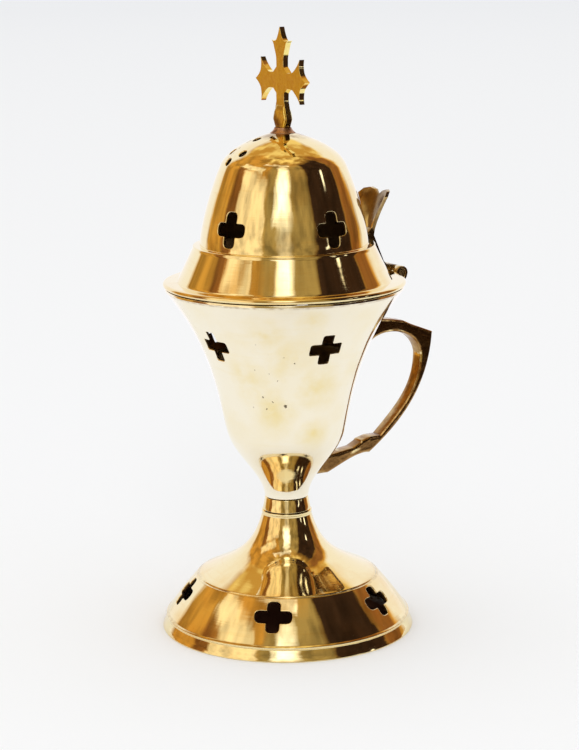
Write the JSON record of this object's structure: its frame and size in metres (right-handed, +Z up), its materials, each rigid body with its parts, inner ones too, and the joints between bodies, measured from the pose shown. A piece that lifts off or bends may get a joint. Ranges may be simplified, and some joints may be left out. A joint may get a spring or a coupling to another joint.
{
  "type": "table censer",
  "caption": "Table censer with a pierced bell foot, flaring cup, hinged pierced dome lid, cast side handle, thumb lever, lift-out charcoal dish and a cross finial.",
  "frame": {"origin": "middle of the space that the censer takes up on a table, on the table's surface; the foot's axis stands 7.4 mm in front of it, at X -0.0074 m", "axes": "+Z up along the foot's axis; +X towards the handle and the hinge, so the front faces -X; +Y to the left of someone who looks from the front with the handle behind"},
  "size_m": [0.0998, 0.085, 0.2],
  "materials": {
    "polished_brass": "spun and highly polished, with fine turning lines and light tarnish in the grooves",
    "pale_brass": "spun and polished, paler, with faint yellow tarnish spots and a few dark pits",
    "sooty_brass": "dull spun brass darkened by charcoal",
    "cast_brass": "cast and filed, browner in the hollows and bright on the worn edges",
    "gold_brass": "cut from sheet, brushed face and filed edges",
    "fixing_brass": "plain turned brass, lightly tarnished",
    "plain_steel": "zinc-bright steel, lightly dulled",
    "solder": "brazing ring with a pinkish heat stain"
  },
  "bodies": {
    "base": {"foot_shell": "polished_brass", "stem_collar": "polished_brass", "cup_bowl": "pale_brass", "stem_bolt": "plain_steel", "stem_washer": "plain_steel", "stem_nut": "plain_steel", "handle": "cast_brass", "handle_screw_upper": "fixing_brass", "handle_screw_lower": "fixing_brass", "hinge_bracket": "cast_brass", "bracket_rivet_left": "fixing_brass", "bracket_rivet_right": "fixing_brass", "hinge_pin": "fixing_brass"},
    "lid": {"lid_dome": "polished_brass", "thumb_lever": "cast_brass", "lever_rivet_lower": "fixing_brass", "lever_rivet_upper": "fixing_brass", "cross_finial": "gold_brass", "solder_ring": "solder"},
    "dish": {"charcoal_pan": "sooty_brass"}
  },
  "joints": [
    {"name": "lid_hinge", "type": "hinge", "parent": "base", "child": "lid", "pos_m": [0.03525, 0, 0.117], "axis": [0, 1, 0], "range_deg": [0, 110]},
    {"name": "dish_lift", "type": "slide", "parent": "base", "child": "dish", "axis": [0, 0, 1], "range_m": [0, 0.034]}
  ]
}
